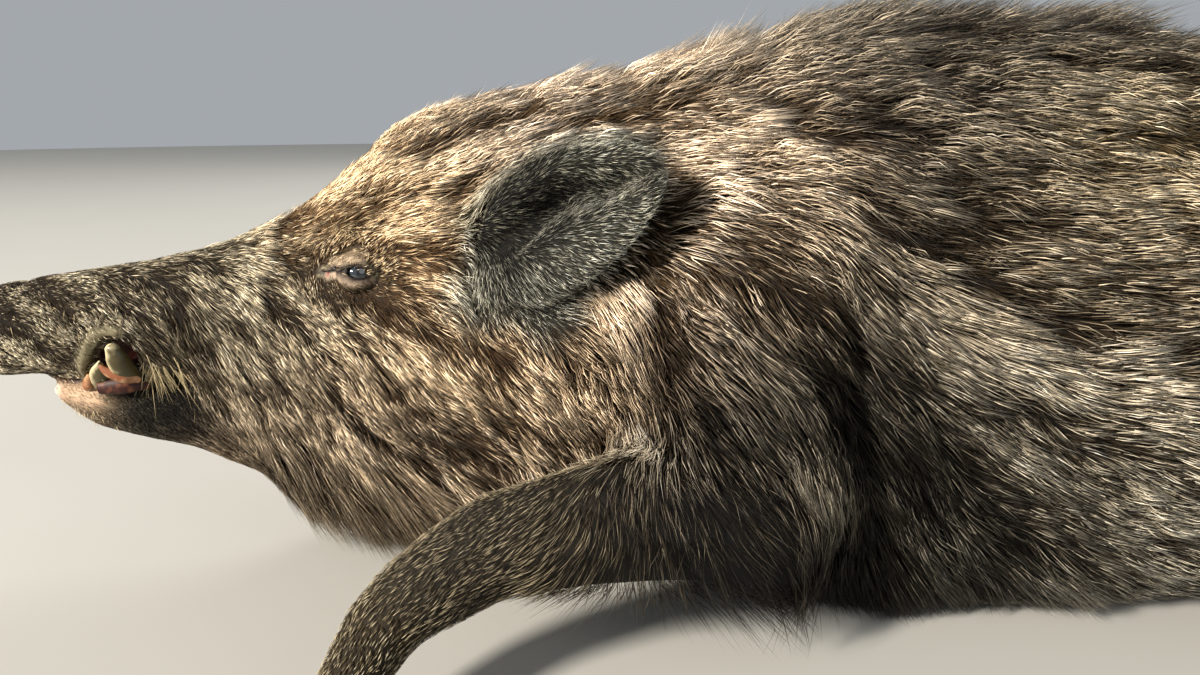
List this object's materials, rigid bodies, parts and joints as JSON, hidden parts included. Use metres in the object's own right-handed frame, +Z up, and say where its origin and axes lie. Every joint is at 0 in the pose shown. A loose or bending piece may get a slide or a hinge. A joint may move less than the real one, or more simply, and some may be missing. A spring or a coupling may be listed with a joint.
{
  "type": "wild boar",
  "caption": "Life-size still model of a large male wild boar lying on its belly with one foreleg stretched out, coat included",
  "frame": {"origin": "middle of the belly's flat on the floor, halfway between snout and rump", "axes": "+X from the snout to the rump, -Y to the boar's left side, +Z up"},
  "size_m": [1.5924, 0.6256, 0.4474],
  "materials": {
    "coat": "long grizzled bristle coat, dark roots and straw tips",
    "dark_coat": "short blackish brown hair",
    "snout_skin": "bare wrinkled skin of the snout's disc",
    "horn": "worn dark hoof horn",
    "ivory": "stained polished tusk",
    "eyeball": "wet dark eye"
  },
  "bodies": {
    "root": {"belly": "coat", "chest": "coat", "ear_left": "dark_coat", "ear_right": "dark_coat", "eye_left": "eyeball", "eye_right": "eyeball", "foreleg_left_dewclaw_a": "horn", "foreleg_left_dewclaw_b": "horn", "foreleg_left_forearm": "dark_coat", "foreleg_left_forefoot": "dark_coat", "foreleg_left_hoof_a": "horn", "foreleg_left_hoof_b": "horn", "foreleg_left_shoulder": "coat", "foreleg_right_dewclaw_a": "horn", "foreleg_right_dewclaw_b": "horn", "foreleg_right_forearm": "dark_coat", "foreleg_right_forefoot": "dark_coat", "foreleg_right_hoof_a": "horn", "foreleg_right_hoof_b": "horn", "foreleg_right_shoulder": "coat", "head": "coat", "hindleg_left_dewclaw_a": "horn", "hindleg_left_dewclaw_b": "horn", "hindleg_left_hindfoot": "dark_coat", "hindleg_left_hoof_a": "horn", "hindleg_left_hoof_b": "horn", "hindleg_left_shank": "dark_coat", "hindleg_left_thigh": "coat", "hindleg_right_dewclaw_a": "horn", "hindleg_right_dewclaw_b": "horn", "hindleg_right_hindfoot": "dark_coat", "hindleg_right_hoof_a": "horn", "hindleg_right_hoof_b": "horn", "hindleg_right_shank": "dark_coat", "hindleg_right_thigh": "coat", "lower_jaw": "coat", "lower_tusk_left": "ivory", "lower_tusk_right": "ivory", "neck": "coat", "rump": "coat", "snout_disc": "snout_skin", "tail": "dark_coat", "upper_tusk_left": "ivory", "upper_tusk_right": "ivory"}
  },
  "joints": []
}
